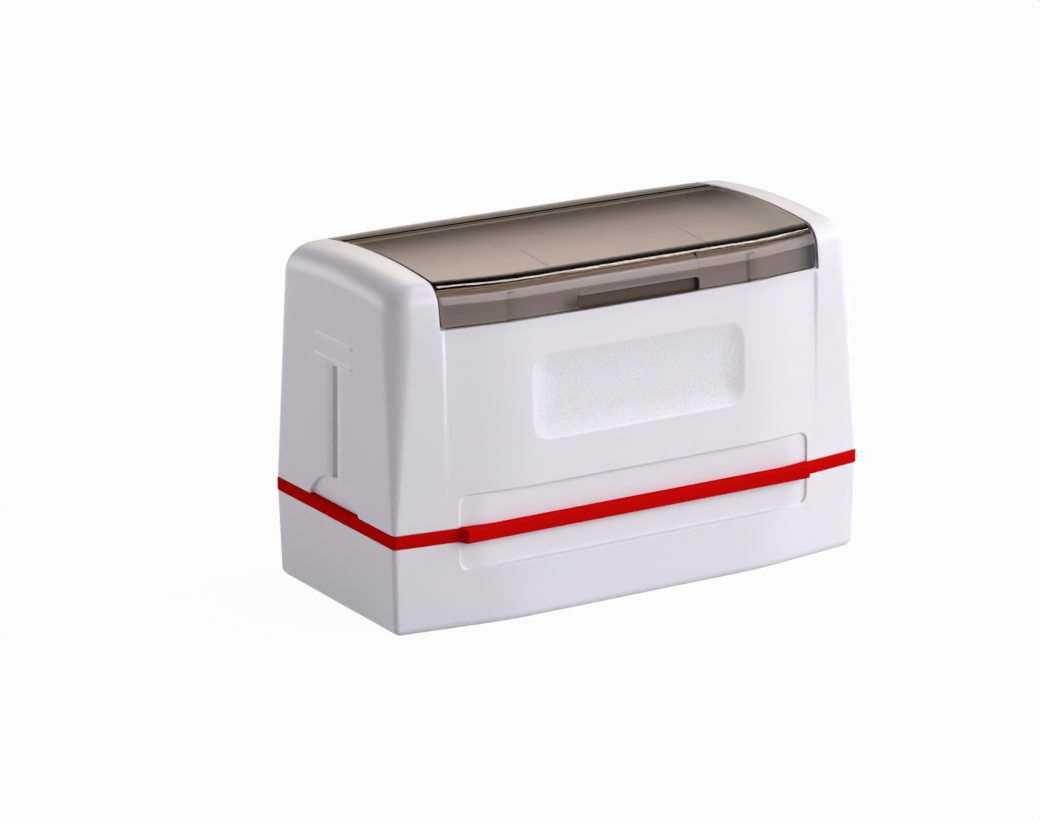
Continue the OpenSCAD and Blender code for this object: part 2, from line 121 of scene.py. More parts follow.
class StampSizes(bpy.types.PropertyGroup):
    """Sizes of the visible pieces."""

    flat_len: length("Flat length", "Straight middle of the bowed long sides", 36)
    turn_in: angle("Turn-in", "Angle by which the long sides turn in towards the ends", 8.2)
    blend_r: length("Blend radius", "Radius between straight middle and turned-in ends", 56)
    corner_low: length("Corner at band", "Radius of the upright corners at the band", 0.7)
    corner_top: length("Corner at shoulder", "Radius of the upright corners at the shoulder", 3.4)
    nest_r: length("Nest corner", "Corner radius of the pieces nested inside", 1.3)
    wall: length("Wall", "Wall of cap and housing at the ends", 2)
    hollow_half: length("Hollow half depth", "Half depth of the flat-sided hollow", 17.7)
    rim_r: length("Rim rounding", "Rounding of the edges that meet at the band", 0.22)
    crisp_edge: length("Crisp edge", "Width over which a moulded relief rises", 0.3)

    cap_draft: length("Cap draft", "How much each side draws in at the cap's bottom", 0.3)
    cap_edge: length("Cap edge", "Rounding of the cap's bottom edge", 1.4)
    cap_floor: length("Cap floor", "Thickness of the cap's floor", 1.6)
    band_proud: length("Band rise", "How far the band stands out from cap and housing", 0.08)
    pad_in: length("Pad inset", "How far the pads lie behind the band's widest point", 0.15)
    pad_half: length("Pad half length", "Half length of the flat pads", 29.8)
    pad_blend: length("Pad blend", "Length over which a pad turns into the band", 1.15)

    end_draft: length("End draft", "How much each end leans in by the shoulder", 0.5)
    side_draft: length("Side draft", "How much each long side leans in by the lid", 0.6)
    crown_r: length("Crown radius", "Radius of the crowned top", 110)
    bend_r: length("Bend radius", "Radius between top and long sides", 2.6)
    lean: angle("Lean", "Lean of the long sides beside the lid", 9)
    end_round_len: length("End rounding length", "Length of the rounding at the top's ends", 5)
    end_round_h: length("End rounding height", "Height of the rounding at the top's ends", 4.6)
    panel_step: length("Panel step", "How far the long panels lie behind the pillars at the lid", 0.35)
    panel_in: length("Panel inset", "Distance of a panel's edge from the pillar beside it", 0.55)
    panel_edge: length("Panel edge", "Width over which a panel's step rises", 0.8)
    lid_gap: length("Lid gap", "Gap between lid and pillars", 0.25)
    ledge_gap: length("Ledge gap", "Gap under the lid's lower edge", 0.05)
    deck_drop: length("Deck drop", "Depth of the deck's top below the crown", 4)
    deck_in: length("Deck inset", "Distance from the lid's outside to the deck", 2.8)

    recess_len: length("Recess length", "Length of the finger recess", 60.8)
    recess_dep: length("Recess depth", "Depth of the finger recess behind the body's middle", 1.1)
    recess_lip: length("Recess lip", "Least depth of the finger recess", 0.35)
    recess_up: length("Recess above band", "Height of the finger recess above the band", 4.8)
    recess_down: length("Recess below band", "Height of the finger recess below the band", 4.4)
    recess_r: length("Recess corner", "Corner radius of the finger recess", 1.5)
    plaque_w: length("Plaque width", "Width of the bare plaque", 36.9)
    plaque_h: length("Plaque height", "Height of the bare plaque", 12.9)
    plaque_up: length("Plaque centre", "Height of the plaque's centre above the band", 17.7)
    plaque_r: length("Plaque corner", "Corner radius of the plaque", 3)
    plaque_dep: length("Plaque depth", "Depth of the plaque", 0.62)
    plaque_soft: length("Plaque slope", "Width of the slope that dishes the plaque", 4.6)

    scoop_half: length("Scoop half width", "Half width of the thumb scoops", 7.3)
    scoop_h: length("Scoop height", "Height of the thumb scoops above the band", 4.4)
    scoop_dep: length("Scoop depth", "Depth of the thumb scoops at the band", 0.7)
    groove_w: length("Groove width", "Width of the upright centre groove", 1.35)
    groove_up: length("Groove top", "Height of the groove's top above the band", 21.2)
    groove_dep: length("Groove depth", "Depth of the upright centre groove", 0.9)
    groove_edge: length("Groove edge", "Width of the soft rims beside the centre groove", 2)
    groove_wall: length("Groove wall", "Width over which the centre groove's walls drop", 0.2)
    bar_rise: length("Bar rise", "How far the bars stand out", 0.24)
    bar_edge: length("Bar edge", "Width over which a bar rises", 0.5)
    bar_len: length("Bar length", "Length of the two level bars", 11)
    bar_h: length("Bar height", "Height of each bar", 0.8)
    bar_up: length("Bar place", "Height of the lower bar above the band", 21.8)
    bar_pitch: length("Bar pitch", "Distance between the bars", 3.1)

    lid_t: length("Lid thickness", "Thickness of lid and rear window", 1.7)
    hinge_y: length("Hinge line", "Distance of the hinge line behind the middle", 9.5)
    bead_r: length("Bead radius", "Radius of the hinge bead", 1.2)
    heel: length("Heel", "How far the lid is ruled behind its hinge line, before its bead is rounded", 1.9)
    seam_gap: length("Seam gap", "Gap between hinge bead and rear window", 0.25)
    pin_r: length("Pin radius", "Radius of the hinge pins", 0.7)
    pin_len: length("Pin length", "Length of the hinge pins", 1.8)
    notch_w: length("Notch width", "Width of the nail notch", 20.8)
    notch_h: length("Notch height", "Height of the nail notch's top above the lid's lower edge", 2.1)
    notch_dep: length("Notch depth", "Depth of the nail notch", 0.8)
    notch_lip: length("Notch lip", "Height of the lip under the nail notch", 0.2)
    rib_x: length("Rib place", "Distance of the latch ribs from the middle", 20.7)
    rib_w: length("Rib width", "Width of the latch ribs", 2.4)
    rib_h: length("Rib height", "Height of the latch ribs", 3.4)
    rib_dep: length("Rib depth", "Depth of the latch ribs", 0.32)
    rib_slope: length("Rib slope", "Width of the latch ribs' sloped flanks", 0.95)
    thin_half: length("Thin half width", "Half width of the thinner wall behind the nail notch", 11.2)
    thin_dep: length("Thin depth", "How much thinner the wall is behind the nail notch", 0.15)
    tick_x: length("Tick place", "Distance of the lid's two fine lines from the middle", 13.5)
    tick_w: length("Tick width", "Width of the lid's fine lines", 0.12)
    tick_dep: length("Tick depth", "Depth of the lid's fine lines", 0.025)
    tick_y: length("Tick end", "Distance of the fine lines' rear ends before the middle", 8.5)
    tick_z: length("Tick foot", "Height of the fine lines' lower ends", 48)

    post_x: length("Post place", "Distance of the guide posts from the middle", 20)
    post_r: length("Post radius", "Radius of the guide posts", 3)
    post_play: length("Post play", "Gap between guide posts and the skirt's web", 0.08)
    skirt_wall: length("Skirt wall", "Wall of the sprung skirt", 1.2)
    web_t: length("Web thickness", "Thickness of the skirt's top web", 2)
    face_len: length("Face length", "Length of the print face", 69)
    face_dep: length("Face depth", "Depth of the print face", 25)
    flange_t: length("Flange thickness", "Thickness of the printing foam's flange", 2)
    wire_r: length("Wire radius", "Radius of the spring wire", 0.4)
    curls: bpy.props.IntProperty(name="Curls", description="Curls in each spring", default=7, min=2)

    view_turn: angle("View turn", "Camera's turn round the object from the front", -31.922)
    view_rise: angle("View rise", "Camera's height angle above the horizon", 15.935)
    view_roll: angle("View roll", "Camera's roll", -0.347)
    view_distance: length("View distance", "Camera's distance from the object's middle", 678.5)
    view_right: length("View right", "How far the object stands right of the frame's middle", 7.34)
    view_up: length("View up", "How far the object stands above the frame's middle", 5.99)
    view_lens: bpy.props.FloatProperty(
        name="Lens", description="Focal length in millimetres on a 36 mm wide frame", default=156.24
    )


class StampColours(bpy.types.PropertyGroup):
    """Colours of the finishes."""

    white: colour("White", "Moulded white of cap and housing", "#EFEEF3")
    red: colour("Red", "Moulded red of the trim band", "#CF0A07")
    smoke: colour("Smoke", "What the smoke lid lets through", "#AC9A8A")
    # The notch's dark brown is painted shade standing in for the shade in the notch; only its matt eroded
    # grain is the surface's own.
    notch: colour("Notch", "Eroded brown of the nail notch", "#483320")
    paper: colour("Paper", "Index card", "#EFE9DC")
    charcoal: colour("Charcoal", "Moulded grey-black of the sprung skirt", "#2E2E31")
    grey: colour("Grey", "Moulded grey of carrier and retainer", "#C9C9CD")
    steel: colour("Steel", "Spring wire and screws", "#C4C6CA")
    ink: colour("Ink", "Ink-soaked felt", "#23232E")
    foam: colour("Foam", "Microporous printing foam", "#4A4650")
    floor: colour("Floor", "Studio floor and backdrop", "#BEBEC1")


def lerp(a, b, t):
    """The value a share t of the way from a to b."""
    return a + (b - a) * t


def clamp(t):
    """The value kept between 0 and 1."""
    return min(1.0, max(0.0, t))


def ease(t):
    """A soft step from 0 to 1."""
    t = clamp(t)
    return t * t * (3 - 2 * t)


def ruled(*runs):
    """Sorted lines in metres from runs of (from, to, spacing) in millimetres, each filled evenly."""
    found = set()
    for low, high, gap in runs:
        count = max(1, round((high - low) / gap))
        found.update(round(low + (high - low) * i / count, 4) for i in range(count + 1))
    return [v * MM for v in sorted(found)]


def both_sides(lines):
    """The same lines on both sides of zero."""
    return sorted({side * v for v in lines for side in (-1, 1)})


def zone_lines(half):
    """Lines of a corner zone that ends at half, spaced for even angles round the corner."""
    turns = [math.radians(45 * k / ZONE_STEPS) for k in range(1, ZONE_STEPS + 1)]
    return [half - ZONE + ZONE * math.tan(turn) for turn in turns]


def along_x(*runs):
    """Lines over the whole length from runs in millimetres, with a corner zone at either end."""
    return both_sides(ruled(*runs) + zone_lines(HALF_LEN))


def along_y(*runs):
    """Lines over the whole depth from runs in millimetres, with a corner zone at either side."""
    return both_sides(ruled(*runs) + zone_lines(HALF_DEP))


def rim_lines(r):
    """Distances from a rim at which its small rounding is ruled."""
    return [r * (1 - math.cos(math.radians(22.5 * k))) for k in range(5)]


def rim_in(d, r):
    """How far a rounded rim draws in at a distance d from its edge."""
    return r - math.sqrt(max(0.0, r * r - (r - d) ** 2)) if d < r else 0.0


def ruled_box(counts):
    """A cube cut by counts of lines along X, Y and Z, with its points on whole numbers from zero."""
    bm = bmesh.new()
    bmesh.ops.create_cube(bm, size=1)
    for axis, count in enumerate(counts):
        along = [e for e in bm.edges if abs(e.verts[0].co[axis] - e.verts[1].co[axis]) > 0.9]
        if count > 2:
            bmesh.ops.subdivide_edges(bm, edges=along, cuts=count - 2, use_grid_fill=True)
    for v in bm.verts:
        v.co = [round((c + 0.5) * (n - 1)) for c, n in zip(v.co, counts)]
    return bm


def shaped(lines, place):
    """A ruled box whose points place moves to where they belong."""
    bm = ruled_box([len(run) for run in lines])
    for v in bm.verts:
        v.co = place(*(run[round(c)] for run, c in zip(lines, v.co)))
    bmesh.ops.remove_doubles(bm, verts=bm.verts, dist=1e-7)
    bmesh.ops.recalc_face_normals(bm, faces=bm.faces)
    if bm.calc_volume(signed=True) < 0:
        bmesh.ops.reverse_faces(bm, faces=bm.faces)
    return bm


def inside_rect(x, z, half_w, half_h, r):
    """Depth inside a rounded rectangle about zero, negative outside it."""
    dx, dz = abs(x) - half_w + r, abs(z) - half_h + r
    return r - math.hypot(max(dx, 0), max(dz, 0)) - min(max(dx, dz), 0)


def outward(g, half):
    """How far a line lies in the corner zone, from 0 to 1."""
    return max(0.0, (abs(g) - half + ZONE) / ZONE)


def drawn(g, keep, half, target):
    """A line's distance from zero: as ruled up to keep, then spread so that the zone starts at target."""
    a = min(abs(g), half - ZONE)
    return a if a <= keep else keep + (a - keep) * (target - keep) / (half - ZONE - keep)


def share(a, b):
    """The part that the square of a has in the squares of both, or 0 where both vanish."""
    return a * a / (a * a + b * b) if a or b else 0.0


def bow(s, x):
    """Half depth of the bowed plan at a distance x from the middle."""
    start, reach = s.flat_len / 2, s.blend_r * math.sin(s.turn_in)
    if x <= start:
        return HALF_DEP
    if x <= start + reach:
        return HALF_DEP - s.blend_r + math.sqrt(s.blend_r**2 - (x - start) ** 2)
    return HALF_DEP - s.blend_r * (1 - math.cos(s.turn_in)) - (x - start - reach) * math.tan(s.turn_in)


def crown(s, y):
    """Height of the crowned top at a distance y from the middle."""
    return TOP_Z - s.crown_r + math.sqrt(s.crown_r**2 - y * y)


def lid_edge(s):
    """Height of the housing's ledge under the lid."""
    return LID_FOOT - s.ledge_gap


def lean_in(s, z):
    """How far the long sides lean in beside the lid, eased in over a few millimetres."""
    ease_h, over = 2.5 * MM, z - lid_edge(s)
    if over <= -ease_h:
        return 0.0
    return math.tan(s.lean) * (over if over >= ease_h else (over + ease_h) ** 2 / (4 * ease_h))


def housing_skin(s, gx, gy, gz, inset=0.0):
    """Where a point of the ruled box lies on the housing's outer form, moved in by inset."""
    ex, ey, ez = outward(gx, HALF_LEN), outward(gy, HALF_DEP), max(0.0, (gz - TOP_Z + ZONE) / ZONE)
    size = math.sqrt(ex * ex + ey * ey + ez * ez) or 1.0
    nx, ny, nz = ex / size, ey / size, ez / size
    ledge = lid_edge(s)
    up = min(1.0, (gz - HOUSING_Z) / (ledge - HOUSING_Z))
    corner = lerp(s.corner_low, s.corner_top, up)
    rx = lerp(corner, s.end_round_len, share(nz, ny))
    ry = lerp(corner, s.bend_r, share(nz, nx)) - inset
    rz = lerp(s.bend_r, s.end_round_h, share(nx, ny)) - inset
    rim = rim_in(gz - HOUSING_Z, s.rim_r)
    x = drawn(gx, KEEP_X, HALF_LEN, HALF_LEN - s.end_draft * up - rim - rx) + rx * nx
    z = gz
    for _ in range(4):  # the lean and the crown each depend on the other
        side = (HALF_DEP - s.side_draft * up - lean_in(s, z)) * bow(s, x) / HALF_DEP - rim - inset
        y = drawn(gy, KEEP_Y, HALF_DEP, side - ry) + ry * ny
        core = crown(s, y) - inset - rz
        if ez > 0:
            z = core + rz * nz
        elif gz > ledge:
            z = ledge + (gz - ledge) * (core - ledge) / (TOP_Z - ZONE - ledge)
    return x, y, z


def recessed(s, x, z, y):
    """Depth y of a long side once the finger recess is pressed in."""
    mid = (HOUSING_Z + s.recess_up + BAND_Z - s.recess_down) / 2
    half_h = HOUSING_Z + s.recess_up - mid
    deep = inside_rect(x, z - mid, s.recess_len / 2, half_h, s.recess_r)
    floor = min(y - s.recess_lip, HALF_DEP - s.recess_dep)
    return lerp(y, floor, ease(deep / s.crisp_edge + 0.5))


def panel_relief(s, x, z, y, front):
    """Depth y of a long side with its set-back panel, finger recess and, in front, the plaque."""
    up = min(1.0, (z - HOUSING_Z) / (lid_edge(s) - HOUSING_Z))
    edge = LID_HALF + s.lid_gap - s.panel_in
    y -= s.panel_step * up * up * ease((edge - x) / s.panel_edge + 0.5)
    y = recessed(s, x, z, y)
    if front:
        rest = 1 - clamp(in_plaque(s, x, z) / s.plaque_soft)
        y -= s.plaque_dep * (1 - rest * rest)
    return y


def in_plaque(s, x, z):
    """Depth inside the plaque's outline, negative outside it."""
    return inside_rect(x, z - HOUSING_Z - s.plaque_up, s.plaque_w / 2, s.plaque_h / 2, s.plaque_r)


def end_relief(s, y, z, x):
    """Length x of an end with its thumb scoop, centre groove and two wedge-shaped level bars."""
    up = z - HOUSING_Z
    r = (s.scoop_half**2 + s.scoop_h**2) / (2 * s.scoop_h)
    scoop = ease((r - math.hypot(y, up - s.scoop_h + r)) / s.crisp_edge + 0.5)
    cut = inside_rect(y, up, s.groove_w / 2, s.groove_up, 0.1 * MM)
    rest = clamp(1 + cut / s.groove_edge)
    groove = max(s.groove_dep * ease(cut / s.groove_wall + 0.5), RIM_SLOPE * s.groove_edge * rest * rest)
    bars = 0.0
    for place in (s.bar_up, s.bar_up + s.bar_pitch):
        deep = inside_rect(y, up - place, s.bar_len / 2, s.bar_h / 2, s.bar_h / 2)
        wedge = clamp((up - place) / s.bar_h + 0.5)
        bars += lerp(BAR_FOOT, 1.0, wedge) * clamp(deep / s.bar_edge + 0.5)
    x -= scoop * s.scoop_dep * lerp(1, SCOOP_TOP, min(1.0, up / s.scoop_h))
    x -= groove * (1 - scoop)
    return x + s.bar_rise * bars


def signed(gx, gy, x, y, z):
    """The point in the quarter that the grid lines lie in."""
    return Vector((math.copysign(x, gx), math.copysign(y, gy), z))


def nested(s, gx, gy, z, inset):
    """A point of the flat-sided plan that the inner pieces nest in, moved in by inset."""
    ex, ey = outward(gx, HALF_LEN), outward(gy, HALF_DEP)
    size = math.hypot(ex, ey) or 1.0
    r = s.nest_r
    x = drawn(gx, KEEP_X, HALF_LEN, HALF_LEN - inset - r) + r * ex / size
    side = min(bow(s, x), s.hollow_half + s.wall) - inset
    return signed(gx, gy, x, drawn(gy, KEEP_Y, HALF_DEP, side - r) + r * ey / size, z)


NEST_X = along_x((0, 18, 6), (18, 26, 2), (26, 37.7, 3.9))
NEST_Y = along_y((0, 9, 9), (9, 17.5, 8.5))


def nest(s, inset, low, high):
    """A plain upright solid of the nested plan."""
    return shaped((NEST_X, NEST_Y, [low, high]), lambda gx, gy, z: nested(s, gx, gy, z, inset))


def lathe(x, profile, steps=32):
    """A solid turned about the upright axis at x from points of (radius, height), axis to axis."""
    bm = bmesh.new()
    verts = [bm.verts.new((x + r, 0, z)) for r, z in profile]
    edges = [bm.edges.new(pair) for pair in zip(verts, verts[1:])]
    bmesh.ops.spin(
        bm, geom=verts + edges, cent=(x, 0, 0), axis=(0, 0, 1), angle=math.tau, steps=steps, use_merge=True
    )
    bmesh.ops.remove_doubles(bm, verts=bm.verts, dist=NEAR)
    bmesh.ops.recalc_face_normals(bm, faces=bm.faces)
    return bm


def block(low, high):
    """A plain box between two corners."""
    low, high = Vector(low), Vector(high)
    bm = bmesh.new()
    at = Matrix.Translation((low + high) / 2)
    bmesh.ops.create_cube(bm, size=1, matrix=at @ Matrix.Diagonal((*(high - low), 1)))
    return bm


def add_into(bm, other):
    """Joins another bmesh into the first one."""
    mesh = bpy.data.meshes.new("joined")
    other.to_mesh(mesh)
    other.free()
    bm.from_mesh(mesh)
    bpy.data.meshes.remove(mesh)


def raw_object(name, bm):
    """An object at the origin that holds a bmesh."""
    mesh = bpy.data.meshes.new(name)
    bm.to_mesh(mesh)
    bm.free()
    made = bpy.data.objects.new(name, mesh)
    bpy.context.scene.collection.objects.link(made)
    return made


def carved(name, bm, *cutters):
    """An object of the bmesh with the cutters taken out of it."""
    made = raw_object(name, bm)
    tools = [raw_object("cutter", c) for c in cutters]
    for tool in tools:
        cut = made.modifiers.new("cut", "BOOLEAN")
        cut.object, cut.operation, cut.solver = tool, "DIFFERENCE", "MANIFOLD"
    view = bpy.context.evaluated_depsgraph_get()
    mesh = bpy.data.meshes.new_from_object(made.evaluated_get(view))
    made.modifiers.clear()
    made.data = mesh
    for tool in tools:
        bpy.data.objects.remove(tool)
    return made


def settle(made, body, slot, nodes, *finishes, edge=None):
    """Gives a piece its shading, finishes, edge rounding and body, and hides the CAD nodes it stands for. The
    slot argument is not used.
    """
    made.data.shade_smooth()
    made.data.set_sharp_from_angle(angle=math.radians(38))
    made.data.materials.clear()
    for finish in finishes:
        made.data.materials.append(finish)
    if edge:
        bevel = made.modifiers.new("edges", "BEVEL")
        bevel.width, bevel.segments, bevel.limit_method = edge, 2, "ANGLE"
        bevel.angle_limit, bevel.harden_normals = math.radians(50), True
    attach(made, body)
    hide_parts(*nodes)
    return made


def add_node(tree, kind, inputs=None, **settings):
    """Adds a node with its settings; inputs maps a socket to a value, or to a node or output to link."""
    made = tree.nodes.new("ShaderNode" + kind)
    for name, value in settings.items():
        setattr(made, name, value)
    for socket, value in (inputs or {}).items():
        if isinstance(value, bpy.types.Node):
            value = next(out for out in value.outputs if out.enabled)
        if isinstance(value, bpy.types.NodeSocket):
            tree.links.new(value, made.inputs[socket])
        else:
            made.inputs[socket].default_value = value
    return made


def new_finish(name):
    """An empty material with its tree and the piece's own coordinates."""
    made = bpy.data.materials.new(name)
    made.use_nodes = True
    made.node_tree.nodes.clear()
    return made, made.node_tree, add_node(made.node_tree, "TexCoord").outputs["Object"]


def toned(shade, by):
    """A colour darkened by a factor."""
    return [v * by for v in shade[:3]] + [1]


def moulded_plastic(name, shade, rough, grain, grain_h, gleam=0.5):
    """Injection-moulded ABS: satin, with fine spark-eroded mould grain and a faint uneven haze.

    grain is the width of a grain and grain_h its height. The real grain is about 0.05 mm wide and is
    drawn coarser, so that it still shows as a slight softness in the render.
    """
    made, tree, place = new_finish(name)
    flow = add_node(tree, "TexNoise", {"Vector": place, "Scale": 1 / (30 * MM), "Detail": 2})
    tint = add_node(tree, "Mix", {"Factor": flow, 6: toned(shade, 0.965), 7: shade}, data_type="RGBA")
    patch = add_node(tree, "TexNoise", {"Vector": place, "Scale": 1 / (9 * MM), "Detail": 4})
    gloss = add_node(tree, "MapRange", {"Value": patch, "To Min": rough - 0.05, "To Max": rough + 0.06})
    sand = add_node(tree, "TexNoise", {"Vector": place, "Scale": 1 / grain, "Detail": 3})
    relief = add_node(tree, "Bump", {"Height": sand, "Strength": 0.5, "Distance": grain_h})
    skin = add_node(
        tree,
        "BsdfPrincipled",
        {"Base Color": tint, "Roughness": gloss, "Normal": relief, "IOR": 1.53, "Specular IOR Level": gleam},
    )
    add_node(tree, "OutputMaterial", {"Surface": skin})
    return made


def white_abs(colours):
    """The white of cap and housing."""
    found = bpy.data.materials.get("white_abs_moulded")
    return found or moulded_plastic("white_abs_moulded", colours.white, 0.36, 0.28 * MM, 0.004 * MM)


def red_abs(colours):
    """The red of the trim band: it mirrors nothing, because the band shows a deep, even red."""
    return moulded_plastic("red_abs_moulded", colours.red, 0.45, 0.28 * MM, 0.004 * MM, gleam=0.0)


def sparked_abs(colours):
    """White ABS off a coarsely eroded patch of the mould: a sugary floor for the bare plaque."""
    made, tree, place = new_finish("white_abs_sparked")
    white = colours.white
    cells = add_node(tree, "TexVoronoi", {"Vector": place, "Scale": 1 / (0.45 * MM)})
    sand = add_node(tree, "TexNoise", {"Vector": place, "Scale": 1 / (0.3 * MM), "Detail": 2})
    rough = add_node(tree, "Math", {0: cells, 1: sand}, operation="ADD")
    patch = add_node(tree, "TexNoise", {"Vector": place, "Scale": 1 / (4 * MM), "Detail": 2})
    power = add_node(
        tree, "MapRange", {"Value": patch, "From Min": 0.35, "From Max": 0.65, "To Min": 0.1, "To Max": 0.5}
    )
    relief = add_node(tree, "Bump", {"Height": rough, "Strength": power, "Distance": 0.06 * MM})
    speck = add_node(tree, "MapRange", {"Value": sand, "From Min": 0.35, "From Max": 0.6})
    tint = add_node(
        tree, "Mix", {"Factor": speck, 6: toned(white, 0.92), 7: toned(white, 0.99)}, data_type="RGBA"
    )
    shine = add_node(tree, "MapRange", {"Value": sand, "To Min": 0.28, "To Max": 0.55})
    skin = add_node(
        tree, "BsdfPrincipled", {"Base Color": tint, "Roughness": shine, "Normal": relief, "IOR": 1.53}
    )
    add_node(tree, "OutputMaterial", {"Surface": skin})
    return made


def smoke_acrylic(colours):
    """Clear-moulded acrylic tinted smoke brown: polished, darker the longer the way through it.

    Lamps pass it, because the volume alone dims what lies behind.
    """
    found = bpy.data.materials.get("smoke_acrylic_polished")
    if found:
        return found
    made, tree, place = new_finish("smoke_acrylic_polished")
    wave = add_node(tree, "TexNoise", {"Vector": place, "Scale": 1 / (7 * MM), "Detail": 1})
    relief = add_node(tree, "Bump", {"Height": wave, "Strength": 0.2, "Distance": 0.03 * MM})
    haze = add_node(tree, "TexNoise", {"Vector": place, "Scale": 1 / (2.5 * MM), "Detail": 3})
    gloss = add_node(tree, "MapRange", {"Value": haze, "To Min": 0.03, "To Max": 0.09})
    looks = {"Base Color": [1, 1, 1, 1], "Roughness": gloss, "Normal": relief}
    skin = add_node(tree, "BsdfPrincipled", {**looks, "IOR": 1.45, "Transmission Weight": 1})
    clear = add_node(tree, "BsdfTransparent")
    shadow = add_node(tree, "LightPath").outputs["Is Shadow Ray"]
    both = add_node(tree, "MixShader", {0: shadow, 1: skin, 2: clear})
    tint = add_node(tree, "VolumeAbsorption", {"Color": colours.smoke, "Density": 1 / (1.3 * MM)})
    add_node(tree, "OutputMaterial", {"Surface": both, "Volume": tint})
    return made


def eroded_acrylic_painted_shade(colours):
    """Smoke acrylic off an eroded patch of the mould for the nail's grip: its matt grain is the mould's own,
    and its dark, hardly clear brown is painted shade for the shade in the notch.
    """
    made, tree, place = new_finish("smoke_acrylic_eroded_painted_shade")
    brown = colours.notch
    sand = add_node(tree, "TexNoise", {"Vector": place, "Scale": 1 / (0.3 * MM), "Detail": 3})
    tint = add_node(tree, "Mix", {"Factor": sand, 6: toned(brown, 0.8), 7: brown}, data_type="RGBA")
    relief = add_node(tree, "Bump", {"Height": sand, "Strength": 0.5, "Distance": 0.03 * MM})
    skin = add_node(
        tree, "BsdfPrincipled", {"Base Color": tint, "Roughness": 0.6, "Normal": relief, "IOR": 1.49}
    )
    add_node(tree, "OutputMaterial", {"Surface": skin})
    return made


def card_paper(colours):
    """Uncoated card: matt, with a faint fibre mottle."""
    made, tree, place = new_finish("uncoated_card")
    paper = colours.paper
    fibre = add_node(tree, "TexNoise", {"Vector": place, "Scale": 1 / (0.8 * MM), "Detail": 6})
    tint = add_node(tree, "Mix", {"Factor": fibre, 6: toned(paper, 0.9), 7: paper}, data_type="RGBA")
    relief = add_node(tree, "Bump", {"Height": fibre, "Strength": 0.4, "Distance": 0.02 * MM})
    skin = add_node(tree, "BsdfPrincipled", {"Base Color": tint, "Roughness": 0.85, "Normal": relief})
    add_node(tree, "OutputMaterial", {"Surface": skin})
    return made


def drawn_steel(name, shade, rough):
    """Drawn or plated steel: bright metal with fine lines and uneven polish."""
    made, tree, place = new_finish(name)
    lines = add_node(tree, "TexNoise", {"Vector": place, "Scale": 1 / (0.25 * MM), "Detail": 4})
    gloss = add_node(tree, "MapRange", {"Value": lines, "To Min": rough - 0.08, "To Max": rough + 0.12})
    relief = add_node(tree, "Bump", {"Height": lines, "Strength": 0.3, "Distance": 0.01 * MM})
    skin = add_node(
        tree, "BsdfPrincipled", {"Base Color": shade, "Metallic": 1, "Roughness": gloss, "Normal": relief}
    )
    add_node(tree, "OutputMaterial", {"Surface": skin})
    return made


def porous(name, shade, pore, depth, rough):
    """Felt or microporous foam: matt and pitted all over, with painted shade that darkens its pores."""
    made, tree, place = new_finish(name)
    pits = add_node(tree, "TexVoronoi", {"Vector": place, "Scale": 1 / pore})
    fuzz = add_node(tree, "TexNoise", {"Vector": place, "Scale": 2 / pore, "Detail": 4})
    mixed = add_node(tree, "Math", {0: pits, 1: fuzz}, operation="MULTIPLY")
    # Painted shade: the colour darkens where the pores are deepest.
    tint = add_node(tree, "Mix", {"Factor": mixed, 6: shade, 7: toned(shade, 0.45)}, data_type="RGBA")
    relief = add_node(tree, "Bump", {"Height": mixed, "Strength": 0.8, "Distance": depth}, invert=True)
    looks = {"Base Color": tint, "Roughness": rough, "Normal": relief}
    skin = add_node(tree, "BsdfPrincipled", {**looks, "Sheen Weight": 0.15})
    add_node(tree, "OutputMaterial", {"Surface": skin})
    return made


